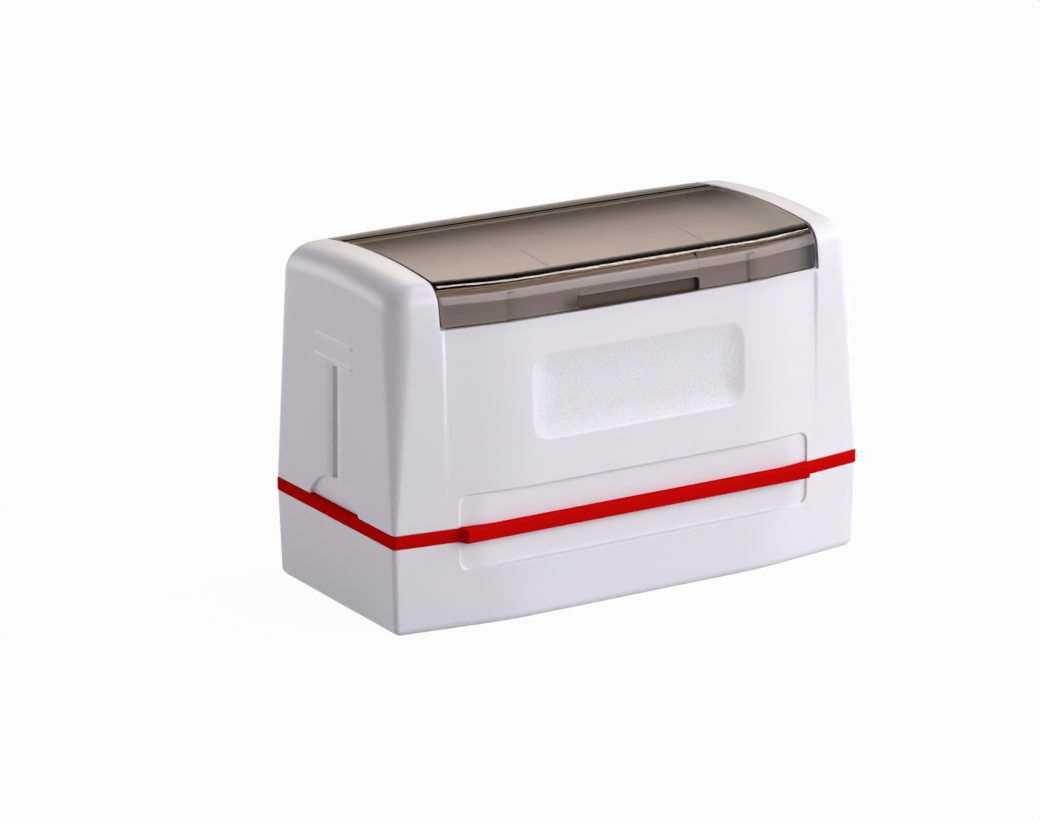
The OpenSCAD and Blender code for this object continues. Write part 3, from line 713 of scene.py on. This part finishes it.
class STAMP_OT_stage(bpy.types.Operator):
    """Sets up the camera, the soft studio light and the pale floor"""

    bl_idname = "stamp.stage"
    bl_label = "Stage"

    def execute(self, context):
        s, c, scene = context.scene.stamp_sizes, context.scene.stamp_colours, context.scene
        scene.view_settings.view_transform = "Standard"
        back = Vector(
            (
                math.sin(s.view_turn) * math.cos(s.view_rise),
                -math.cos(s.view_turn) * math.cos(s.view_rise),
                math.sin(s.view_rise),
            )
        )
        lens = bpy.data.cameras.new("camera")
        lens.lens, lens.sensor_width, lens.sensor_fit = s.view_lens, 36.0, "HORIZONTAL"
        lens.clip_start, lens.clip_end = 0.05, 50
        camera = bpy.data.objects.new("camera", lens)
        scene.collection.objects.link(camera)
        middle = Vector((0, 0, 30 * MM))
        right = Vector((-back.y, back.x, 0)).normalized()
        upward = back.cross(right)
        # The object stands right of and above the frame's middle, so the camera looks past it
        aim = middle - s.view_right * right - s.view_up * upward
        camera.location = middle + back * s.view_distance
        turn = (aim - camera.location).to_track_quat("-Z", "Y")
        camera.rotation_mode = "QUATERNION"
        camera.rotation_quaternion = turn @ Quaternion((0, 0, 1), s.view_roll)
        scene.camera = camera

        # Each lamp's place, width and height in metres, its power in watts and its colour
        for name, place, wide, high, power, tint in (
            ("key", (1.13, -1.13, 0.73), 2.4, 1.1, 38.5, "#F8F8FF"),
            ("gleam", (0.74, -0.06, 1.3), 0.2, 0.55, 5.4, "#FFF4EC"),
            ("fill", (-1.25, 0.5, 0.28), 0.9, 0.6, 3.5, "#F8F8FF"),
            ("edge", (-0.72, 1.21, 0.36), 0.9, 0.5, 6, "#F8F8FF"),
        ):
            lamp = bpy.data.lights.new(name, "AREA")
            lamp.shape, lamp.size, lamp.size_y = "RECTANGLE", wide, high
            lamp.energy, lamp.color = power, linear(tint)[:3]
            made = bpy.data.objects.new(name, lamp)
            made.location = place
            made.rotation_euler = (middle - made.location).to_track_quat("-Z", "Y").to_euler()
            scene.collection.objects.link(made)

        scene.world = self.studio_room()
        floor = self.painted_floor(c)
        return {"FINISHED"}

    def studio_room(self):
        """A dim room: a warm ramp behind, which the lid mirrors brighter towards its front, and a horizon."""
        world = bpy.data.worlds.new("studio")
        world.use_nodes = True
        tree = world.node_tree
        tree.nodes.clear()
        way = add_node(tree, "SeparateXYZ", {0: add_node(tree, "TexCoord").outputs["Generated"]}).outputs
        soft = {"interpolation_type": "SMOOTHSTEP"}
        low = add_node(tree, "MapRange", {0: way["Z"], 1: 0.12, 2: 0, 3: 0.03, 4: 0.4}, **soft)
        ramp = add_node(tree, "MapRange", {0: way["Z"], 1: 0.13, 2: 0.6, 3: 0.08, 4: 3.2}, **soft)
        # Each row holds the ramp back along an axis: where that starts and ends, and the share left at both
        for axis, start, end, before, after in (
            ("Z", 0.85, 0.56, 0, 1),
            ("Y", 0.05, 0.35, 0, 1),
            ("X", 0, 0.3, 0, 1),
            ("X", 0.5, 0.6, 1, 0.55),
        ):
            held = add_node(tree, "MapRange", {0: way[axis], 1: start, 2: end, 3: before, 4: after}, **soft)
            ramp = add_node(tree, "Math", {0: ramp, 1: held}, operation="MULTIPLY")
        room = add_node(tree, "Background", {"Color": linear("#FFF2E8"), "Strength": low})
        glow = add_node(tree, "Background", {"Color": linear("#FFF0E6"), "Strength": ramp})
        both = add_node(tree, "AddShader", {0: room, 1: glow})
        add_node(tree, "OutputWorld", {"Surface": both})
        return world

    def painted_floor(self, c):
        """A pale painted floor just under the cap: white to the eye and in mirrors, with the shadow kept."""
        bm = bmesh.new()
        under = Matrix.Translation((0, 0, -0.02 * MM))
        bmesh.ops.create_grid(bm, x_segments=1, y_segments=1, size=6, matrix=under)
        floor = raw_object("floor", bm)
        paint, tree, place = new_finish("painted_floor")
        mottle = add_node(tree, "TexNoise", {"Vector": place, "Scale": 1 / (60 * MM), "Detail": 3})
        tint = add_node(
            tree, "Mix", {"Factor": mottle, 6: toned(c.floor, 0.985), 7: c.floor}, data_type="RGBA"
        )
        skin = add_node(tree, "BsdfDiffuse", {"Color": tint})
        glow = add_node(tree, "Emission", {"Color": [1, 1, 1, 1], "Strength": 1})
        rays = add_node(tree, "LightPath").outputs
        seen = rays["Is Camera Ray"]
        for kind in ("Is Glossy Ray", "Is Transmission Ray"):
            seen = add_node(tree, "Math", {0: seen, 1: rays[kind]}, operation="MAXIMUM")
        white = add_node(tree, "Math", {0: seen, 1: 0.96}, operation="MULTIPLY")
        both = add_node(tree, "MixShader", {0: white, 1: skin, 2: glow})
        add_node(tree, "OutputMaterial", {"Surface": both})
        floor.data.materials.append(paint)
        return floor


class STAMP_OT_dust_cap(bpy.types.Operator):
    """Builds the white cap with its rounded foot and finger recesses"""

    bl_idname = "stamp.dust_cap"
    bl_label = "Dust cap"

    def execute(self, context):
        s, c = context.scene.stamp_sizes, context.scene.stamp_colours
        foot = [s.cap_edge * (1 - math.tan(math.radians(45 * k / 6))) for k in range(6, -1, -1)]
        low = s.cap_edge / MM
        rim = [BAND_Z - d for d in rim_lines(s.rim_r)]
        lines = (
            along_x((0, 18, 6), (18, 28, 1), (28, 29, 0.25), (29, 31, 0.1), (31, 37.7, 0.9)),
            along_y((0, 9, 3), (9, 17.5, 1.7)),
            sorted(foot + ruled((low, 8.5, 1.4), (8.5, 10.6, 0.1), (10.6, 13, 0.6)) + rim),
        )

        def place(gx, gy, gz):
            ex, ey = outward(gx, HALF_LEN), outward(gy, HALF_DEP)
            ez = max(0.0, 1 - gz / s.cap_edge)
            size = math.sqrt(ex * ex + ey * ey + ez * ez) or 1.0
            nx, ny, nz = ex / size, ey / size, ez / size
            rx = lerp(s.corner_low, s.cap_edge, share(nz, ny))
            ry = lerp(s.corner_low, s.cap_edge, share(nz, nx))
            draw = s.cap_draft * (1 - gz / BAND_Z) + rim_in(BAND_Z - gz, s.rim_r)
            x = drawn(gx, KEEP_X, HALF_LEN, HALF_LEN - draw - rx) + rx * nx
            y = drawn(gy, KEEP_Y, HALF_DEP, bow(s, x) - draw - ry) + ry * ny
            z = s.cap_edge * (1 - nz) if ez > 0 else gz
            if ey > 0 and ez == 0:
                y = recessed(s, x, z, y)
            return signed(gx, gy, x, y, z)

        made = carved("dust_cap_shell", shaped(lines, place), nest(s, s.wall, s.cap_floor, 2 * BAND_Z))
        settle(made, "cap", "white_abs", ["dust_cap"], white_abs(c))
        return {"FINISHED"}


class STAMP_OT_colour_band(bpy.types.Operator):
    """Builds the red band with its flat pads"""

    bl_idname = "stamp.colour_band"
    bl_label = "Colour band"

    def execute(self, context):
        s, c = context.scene.stamp_sizes, context.scene.stamp_colours
        low = [BAND_Z + d for d in rim_lines(s.rim_r)]
        high = [HOUSING_Z - d for d in rim_lines(s.rim_r)]
        lines = (
            along_x((0, 18, 6), (18, 29.6, 0.8), (29.6, 31.2, 0.1), (31.2, 37.7, 0.9)),
            along_y((0, 9, 4.5), (9, 17.5, 1.7)),
            sorted(low + high),
        )

        def place(gx, gy, gz):
            ex, ey = outward(gx, HALF_LEN), outward(gy, HALF_DEP)
            size = math.hypot(ex, ey) or 1.0
            rim = rim_in(min(gz - BAND_Z, HOUSING_Z - gz), s.rim_r)
            r = s.corner_low
            x = drawn(gx, KEEP_X, HALF_LEN, HALF_LEN + s.band_proud - rim - r) + r * ex / size
            side = bow(s, x) + s.band_proud
            side = lerp(max(side, PAD_Y - s.pad_in), side, ease((x - s.pad_half) / s.pad_blend)) - rim
            y = drawn(gy, KEEP_Y, HALF_DEP, side - r) + r * ey / size
            return signed(gx, gy, x, y, gz)

        bm = shaped(lines, place)
        made = carved("colour_band_ring", bm, nest(s, s.wall, 0, 2 * TONGUE_TOP))
        settle(made, "housing", "red_abs", ["colour_band"], red_abs(c))
        return {"FINISHED"}


class STAMP_OT_upper_housing(bpy.types.Operator):
    """Builds the white housing with pillars, deck, plaque, recesses, end marks and guide posts"""

    bl_idname = "stamp.upper_housing"
    bl_label = "Upper housing"

    def execute(self, context):
        s, c = context.scene.stamp_sizes, context.scene.stamp_colours
        ledge, pillar = lid_edge(s), LID_HALF + s.lid_gap
        lines = (
            along_x(
                (0, 13.2, 3.3), (13.2, 18, 0.4), (18, 19.4, 0.1), (19.4, 28, 0.94), (28, 29, 0.25),
                (29, 31, 0.1), (31, 31.8, 0.4), (31.8, 32.6, 0.1), (32.85, 33.6, 0.75), (33.6, 37.7, 0.8),
            ),
            along_y(
                (0, 0.5, 0.25), (0.5, 1.1, 0.05), (1.1, 4.9, 0.2), (4.9, 6.1, 0.12), (6.1, 7.7, 0.2),
                (7.7, 9, 1.3), (9, 17.5, 1.2),
            ),
            sorted(
                [HOUSING_Z + d for d in rim_lines(s.rim_r)]
                + ruled(
                    (15.95, 19.95, 0.2), (19.95, 20.85, 0.09), (20.85, 26.3, 1.1), (26.3, 27.5, 0.1),
                    (27.5, 30, 0.4), (30, 35, 1.25), (35, 36.2, 0.3), (36.2, 41.2, 0.125),
                    (41.2, ledge / MM, 0.93), (ledge / MM, 49.8, 0.98),
                )
                + zone_lines(TOP_Z)
            ),
        )

        def place(gx, gy, gz):
            x, y, z = housing_skin(s, gx, gy, gz)
            if gz <= ledge and outward(gy, HALF_DEP) > 0:
                y = panel_relief(s, x, z, y, gy < 0)
            if gz <= ledge and outward(gx, HALF_LEN) > 0:
                x = end_relief(s, y, z, x)
            return signed(gx, gy, x, y, z)

        bm = shaped(lines, place)
        self.cut_bay(bm, ledge, pillar)
        made = carved("upper_housing_shell", bm, nest(s, s.wall, 0, ledge - 1.6 * MM))
        settle(made, "housing", "white_abs", ["upper_housing"], white_abs(c), sparked_abs(c))
        for f in made.data.polygons:
            deep = in_plaque(s, f.center.x, f.center.z)
            f.material_index = 1 if f.center.y < -0.9 * HALF_DEP and deep > 0.4 * MM else 0
        self.build_deck(s, c, ledge, pillar)
        return {"FINISHED"}

    def cut_bay(self, bm, ledge, pillar):
        """Opens the bay for the lid between the pillars, with a ledge below and rounded edges."""
        middles = {f: f.calc_center_median() for f in bm.faces}
        gone = [f for f, at in middles.items() if abs(at.x) < pillar and at.z > ledge]
        bmesh.ops.delete(bm, geom=gone, context="FACES")
        rim = [e for e in bm.edges if e.is_boundary]
        floor = [e for e in rim if all(abs(v.co.z - ledge) < NEAR for v in e.verts)]
        sharp = list(floor)
        for side in (-1, 1):
            arch = [e for e in rim if all(abs(v.co.x - side * pillar) < NEAR for v in e.verts)]
            ends = [v for v in {v for e in arch for v in e.verts} if abs(v.co.z - ledge) < NEAR]
            foot = bm.edges.new(ends)
            bmesh.ops.edgeloop_fill(bm, edges=arch + [foot])
            floor.append(foot)
            sharp += arch
        bmesh.ops.edgeloop_fill(bm, edges=floor)
        bmesh.ops.recalc_face_normals(bm, faces=bm.faces)
        bmesh.ops.bevel(
            bm, geom=sharp, offset=0.07 * MM, offset_type="OFFSET", affect="EDGES", segments=3, profile=0.5,
            material=-1, clamp_overlap=True,
        )

    def build_deck(self, s, c, ledge, pillar):
        """Builds the raised deck under the lid with its card pocket, and the posts below it."""
        top = TOP_Z - s.deck_drop
        lines = (
            both_sides(ruled((0, 18, 6), (18, 26, 2), (26, 31, 2.5)) + [pillar]),
            both_sides([0, HALF_DEP]),
            [ledge - 2 * MM, ledge, lerp(ledge, top, 0.5), top],
        )

        def place(gx, gy, gz):
            side = (HALF_DEP - s.side_draft - lean_in(s, gz)) * bow(s, abs(gx)) / HALF_DEP - s.deck_in
            return signed(gx, gy, abs(gx), side if gy else 0.0, gz)

        gap = 0.3 * MM
        pocket_x, pocket_y = CARD_HIGH.x + gap, CARD_HIGH.y + gap
        pocket = block((-pocket_x, -pocket_y, CARD_LOW.z), (pocket_x, pocket_y, TOP_Z))
        made = carved("card_deck", shaped(lines, place), pocket)
        settle(made, "housing", "white_abs", [], white_abs(c), edge=0.2 * MM)

        posts = bmesh.new()
        low, foot, head = CARRIER_TOP, SPRING_HIGH.z, ledge - 1.9 * MM
        stop = SKIRT_HIGH.z + 5.1 * MM  # where the pressed skirt comes to rest
        step, collar = s.post_r + 0.3 * MM, s.post_r + 1.8 * MM
        profile = [
            (0, low), (s.post_r, low), (s.post_r, stop), (step, stop), (step, foot), (collar, foot),
            (collar, head), (0, head),
        ]
        for side in (-1, 1):
            add_into(posts, lathe(side * s.post_x, profile))
        settle(raw_object("guide_posts", posts), "housing", "white_abs", [], white_abs(c), edge=0.3 * MM)


class STAMP_OT_smoke_lid(bpy.types.Operator):
    """Builds the smoke lid with its hinge bead, nail notch and ribs, and the fixed rear window"""

    bl_idname = "stamp.smoke_lid"
    bl_label = "Smoke lid and rear window"

    # Shares of its thickness at which a sheet is ruled, and the rounding of its edges and lower corners
    THROUGH = [0, 0.05, 0.13, 0.28, 0.5, 0.72, 0.87, 0.95, 1]
    EDGE_R, FOOT_R = 0.15 * MM, 1 * MM

    def execute(self, context):
        s, c = context.scene.stamp_sizes, context.scene.stamp_colours
        wall = [TOP_Z - ZONE] + ruled(
            (45.25, 45.4, 0.075), (45.4, 45.75, 0.05), (45.75, 47.2, 0.3), (47.2, 48.3, 0.07),
            (48.3, 49.7, 0.28),
        )
        wall[1] = LID_FOOT
        hinge_z = crown(s, s.hinge_y) - s.bead_r
        bend = [(HALF_DEP, z) for z in sorted(wall + zone_lines(TOP_Z))]
        over = [(y, TOP_Z) for y in reversed([HALF_DEP - ZONE] + zone_lines(HALF_DEP)[:-1])]
        edge = (s.hinge_y + s.heel) / MM
        flat = ruled((-16.5, -9.2, 1), (-9.2, -8, 0.12), (-8, 8, 2), (8, 9.5, 0.5), (9.5, edge, 0.1))
        front = [(-y, z) for y, z in bend + over] + [(y, TOP_Z) for y in flat]
        along = both_sides(
            ruled(
                (0, 9.6, 2.4), (9.6, 11.6, 0.1), (11.6, 13, 0.35), (13, 14, 0.1),
                (14, 19.3, 1.3), (19.3, 22.1, 0.1), (22.1, 31.4, 1.9), (31.4, 32.6, 0.2),
            )
        )

        def lid_point(gx, line, t):
            at = self.sheet_point(s, gx, line, t, self.relief)
            arm = Vector((at.y - s.hinge_y, at.z - hinge_z))
            if arm.x > 0 and arm.length > s.bead_r:  # round about the hinge line, so that it can turn
                arm *= s.bead_r / arm.length
                at.y, at.z = s.hinge_y + arm.x, hinge_z + arm.y
            return at

        lid = shaped((along, front, self.THROUGH), lid_point)
        for side in (-1, 1):
            at = Matrix.Translation((side * (LID_HALF + s.pin_len / 2 - 0.1 * MM), s.hinge_y, hinge_z))
            bmesh.ops.create_cone(
                lid, cap_ends=True, segments=24, radius1=s.pin_r, radius2=s.pin_r, depth=s.pin_len,
                matrix=at @ Matrix.Rotation(math.pi / 2, 4, "Y"),
            )
        made = raw_object("smoke_lid", lid)
        settle(made, "lid", "smoke_acrylic", ["window_lid"], smoke_acrylic(c), eroded_acrylic_painted_shade(c))
        # The notch's faces take the dark brown finish, whose colour is painted shade.
        for f in made.data.polygons:
            inside = self.in_notch(s, f.center.x, f.center.z) > -0.1 * MM
            f.material_index = 1 if inside and f.center.y < 0 and f.normal.y < 0.3 else 0

        start = s.hinge_y + s.bead_r + s.seam_gap
        rear = [(start, TOP_Z)] + [(y, TOP_Z) for y in ruled((12.4, 16.5, 0.82))]
        rear += reversed(bend + over)
        plain = both_sides(ruled((0, 18, 6), (18, 31.4, 1.2), (31.4, 32.6, 0.2)))

        def window_point(gx, line, t):
            at = self.sheet_point(s, gx, line, t, None)
            if line is rear[0]:  # a straight edge along the seam
                at.y, at.z = start, crown(s, start) - t * s.lid_t
            return at

        window = shaped((plain, rear, self.THROUGH), window_point)
        made = raw_object("rear_smoke_window", window)
        settle(made, "housing", "smoke_acrylic", ["rear_window"], smoke_acrylic(c))
        return {"FINISHED"}

    def round_in(self, s, t):
        """How far a sheet's edge is rounded back at a share t through its thickness."""
        r = self.EDGE_R
        q = max(0.0, (abs(2 * t - 1) - 1 + 2 * r / s.lid_t) * s.lid_t / (2 * r))
        return r * (1 - math.sqrt(max(0.0, 1 - q * q)))

    def end_in(self, s, gx, t):
        """The place of a line along the lid, drawn back where the ends are rounded."""
        if abs(gx) < LID_HALF - NEAR:
            return gx
        return math.copysign(LID_HALF - self.round_in(s, t), gx)

    def in_notch(self, s, x, z):
        """Depth inside the nail notch's outline, negative outside it."""
        mid, half = LID_FOOT + (s.notch_h + s.notch_lip) / 2, (s.notch_h - s.notch_lip) / 2
        return inside_rect(x, z - mid, s.notch_w / 2, half, 0.5 * MM)

    def relief(self, s, gx, y, z, t):
        """Distance through the lid's wall: notch and fine lines outside, ribs and a thin stretch inside."""
        x, deep, thin = abs(gx), 0.0, 0.0
        if y > 0.8 * HALF_DEP:
            deep = ease(self.in_notch(s, x, z) / (0.2 * MM) + 0.5)
            thin = clamp((s.thin_half - x) / (0.5 * MM) + 0.5)
        rib = clamp((s.rib_w / 2 - abs(x - s.rib_x)) / s.rib_slope)
        rib *= clamp((LID_FOOT + s.rib_h - z) / (1 * MM) + 0.5)
        tick = ease((s.tick_w - abs(x - s.tick_x)) / s.tick_w + 0.5)
        tick *= ease((y - s.tick_y) / (0.3 * MM) + 0.5) * ease((z - s.tick_z) / (0.5 * MM))
        outer = max(s.notch_dep * deep, s.tick_dep * tick)
        return lerp(outer, s.lid_t + s.rib_dep * rib - s.thin_dep * thin, t)

    def sheet_point(self, s, gx, line, t, relief):
        """A point of a curved sheet at a line over the housing's form and a share t through it."""
        gy, gz = line
        x, y, z = housing_skin(s, gx, gy, gz)
        inset = relief(s, gx, y if gy < 0 else 0.0, z, t) if relief else t * s.lid_t
        x, y, z = housing_skin(s, gx, gy, gz, inset)
        if abs(gy) >= HALF_DEP and gz <= LID_FOOT + NEAR:
            z = LID_FOOT + self.round_in(s, t)
        along, r = self.end_in(s, gx, t), self.FOOT_R
        u, w = (abs(gx) - LID_HALF + r) / r, (LID_FOOT + r - z) / r
        if abs(gy) >= HALF_DEP and u > 0 and w > 0:
            draw = max(u, w) / math.hypot(u, w)
            along = math.copysign(min(abs(along), LID_HALF - r + r * u * draw), gx)
            z = max(z, LID_FOOT + r - r * w * draw)
        return Vector((along, math.copysign(y, gy), z))


class STAMP_OT_index_card(bpy.types.Operator):
    """Lays the index card in the deck's pocket"""

    bl_idname = "stamp.index_card"
    bl_label = "Index card"

    def execute(self, context):
        c = context.scene.stamp_colours
        bm = block(CARD_LOW, CARD_HIGH)
        upright = [e for e in bm.edges if abs(e.verts[0].co.z - e.verts[1].co.z) > 0.1 * MM]
        bmesh.ops.bevel(
            bm, geom=upright, offset=1.5 * MM, offset_type="OFFSET", affect="EDGES", segments=6, profile=0.5,
            material=-1,
        )
        settle(raw_object("paper_card", bm), "housing", "card_paper", ["index_card"], card_paper(c))
        return {"FINISHED"}


class STAMP_OT_skirt(bpy.types.Operator):
    """Builds the sprung skirt that stands on the paper"""

    bl_idname = "stamp.skirt"
    bl_label = "Sprung skirt"

    def execute(self, context):
        s, c = context.scene.stamp_sizes, context.scene.stamp_colours
        outer = HALF_LEN - SKIRT_HIGH.x
        low, high = SKIRT_LOW.z, SKIRT_HIGH.z
        r = s.post_r + s.post_play
        holes = [lathe(side * s.post_x, [(0, 0), (r, 0), (r, TOP_Z), (0, TOP_Z)]) for side in (-1, 1)]
        inside = nest(s, outer + s.skirt_wall, 0, high - s.web_t)
        made = carved("sprung_skirt", nest(s, outer, low, high), inside, *holes)
        paint = moulded_plastic("charcoal_abs_textured", c.charcoal, 0.5, 0.35 * MM, 0.012 * MM)
        settle(made, "skirt", "grey_abs", ["skirt_frame"], paint, edge=0.25 * MM)
        return {"FINISHED"}


class STAMP_OT_inking(bpy.types.Operator):
    """Builds felt, printing foam and retainer, and finishes the carrier and its screws"""

    bl_idname = "stamp.inking"
    bl_label = "Inking parts"

    def execute(self, context):
        s, c = context.scene.stamp_sizes, context.scene.stamp_colours
        inner = HALF_LEN - FELT_HIGH.x
        felt = raw_object("ink_felt_block", nest(s, inner, FELT_LOW.z, FELT_HIGH.z))
        soaked = porous("ink_soaked_felt", c.ink, 0.5 * MM, 0.12 * MM, 0.8)
        settle(felt, "housing", "ink_felt", ["ink_reservoir"], soaked, edge=0.5 * MM)

        flange, x, y = FELT_LOW.z - s.flange_t, s.face_len / 2, s.face_dep / 2
        bm = nest(s, inner, flange, FELT_LOW.z)
        add_into(bm, block((-x, -y, DIE_FACE), (x, y, flange)))
        foam = raw_object("printing_foam", bm)
        pored = porous("microporous_foam", c.foam, 0.35 * MM, 0.08 * MM, 0.7)
        settle(foam, "housing", "die_foam", ["foam_die"], pored, edge=0.4 * MM)

        grey = moulded_plastic("grey_abs_textured", c.grey, 0.45, 0.35 * MM, 0.01 * MM)
        gap = 0.05 * MM
        window = block((-x - gap, -y - gap, -TOP_Z), (x + gap, y + gap, TOP_Z))
        ring = nest(s, HALF_LEN - RETAINER_HIGH.x, RETAINER_LOW.z, RETAINER_HIGH.z)
        made = carved("foam_retainer", ring, nest(s, inner - gap, flange, 2 * TOP_Z), window)
        settle(made, "housing", "grey_abs", ["die_retainer"], grey, edge=0.2 * MM)

        steel = drawn_steel("zinc_plated_steel", c.steel, 0.3)
        for name, finish in (("die_carrier", grey), ("carrier_screws", steel)):
            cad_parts[name].data.materials.clear()
            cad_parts[name].data.materials.append(finish)
        return {"FINISHED"}


class STAMP_OT_springs(bpy.types.Operator):
    """Winds the two compression springs"""

    bl_idname = "stamp.springs"
    bl_label = "Springs"

    def execute(self, context):
        s, c = context.scene.stamp_sizes, context.scene.stamp_colours
        wire = drawn_steel("drawn_spring_wire", c.steel, 0.32)
        reach = (SPRING_HIGH.x - SPRING_LOW.x) / 2 - s.wire_r
        low, high = SPRING_LOW.z + s.wire_r, SPRING_HIGH.z - s.wire_r
        steps, top = 24 * s.curls, SPRING_HIGH.z
        for name, side in (("spring_left", -1), ("spring_right", 1)):
            x = side * s.post_x
            bm = bmesh.new()
            at = Matrix.Translation((x + reach, 0, low)) @ Matrix.Rotation(math.pi / 2, 4, "X")
            start = bmesh.ops.create_circle(bm, cap_ends=False, segments=10, radius=s.wire_r, matrix=at)
            edges = list({e for v in start["verts"] for e in v.link_edges})
            bmesh.ops.spin(
                bm, geom=start["verts"] + edges, cent=(x, 0, 0), axis=(0, 0, 1), angle=math.tau * s.curls,
                dvec=(0, 0, (high - low) / steps), steps=steps,
            )
            bmesh.ops.holes_fill(bm, edges=[e for e in bm.edges if e.is_boundary], sides=0)
            bmesh.ops.recalc_face_normals(bm, faces=bm.faces)
            made = raw_object(name + "_coil", bm)
            settle(made, "housing", "spring_steel", [name], wire)
            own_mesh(made)
        return {"FINISHED"}


class STAMP_PT_panel(bpy.types.Panel):
    """Lists the steps that build the stamp"""

    bl_label = "Pre-inked stamp"
    bl_idname = "STAMP_PT_panel"
    bl_space_type = "VIEW_3D"
    bl_region_type = "UI"
    bl_category = "Stamp"

    def draw(self, context):
        for step in STEPS:
            self.layout.operator(step.bl_idname)
        for group in (context.scene.stamp_sizes, context.scene.stamp_colours):
            for key in group.__annotations__:
                self.layout.prop(group, key)


STEPS = (
    STAMP_OT_stage,
    STAMP_OT_dust_cap,
    STAMP_OT_colour_band,
    STAMP_OT_upper_housing,
    STAMP_OT_smoke_lid,
    STAMP_OT_index_card,
    STAMP_OT_skirt,
    STAMP_OT_inking,
    STAMP_OT_springs,
)
CLASSES = (StampSizes, StampColours, *STEPS, STAMP_PT_panel)


def register():
    for made in CLASSES:
        bpy.utils.register_class(made)
    bpy.types.Scene.stamp_sizes = bpy.props.PointerProperty(type=StampSizes)
    bpy.types.Scene.stamp_colours = bpy.props.PointerProperty(type=StampColours)


def unregister():
    del bpy.types.Scene.stamp_sizes
    del bpy.types.Scene.stamp_colours
    for made in reversed(CLASSES):
        bpy.utils.unregister_class(made)


def main():
    register()
    bpy.ops.stamp.stage()
    bpy.ops.stamp.dust_cap()
    bpy.ops.stamp.colour_band()
    bpy.ops.stamp.upper_housing()
    bpy.ops.stamp.smoke_lid()
    bpy.ops.stamp.index_card()
    bpy.ops.stamp.skirt()
    bpy.ops.stamp.inking()
    bpy.ops.stamp.springs()


if __name__ == "__main__":
    main()
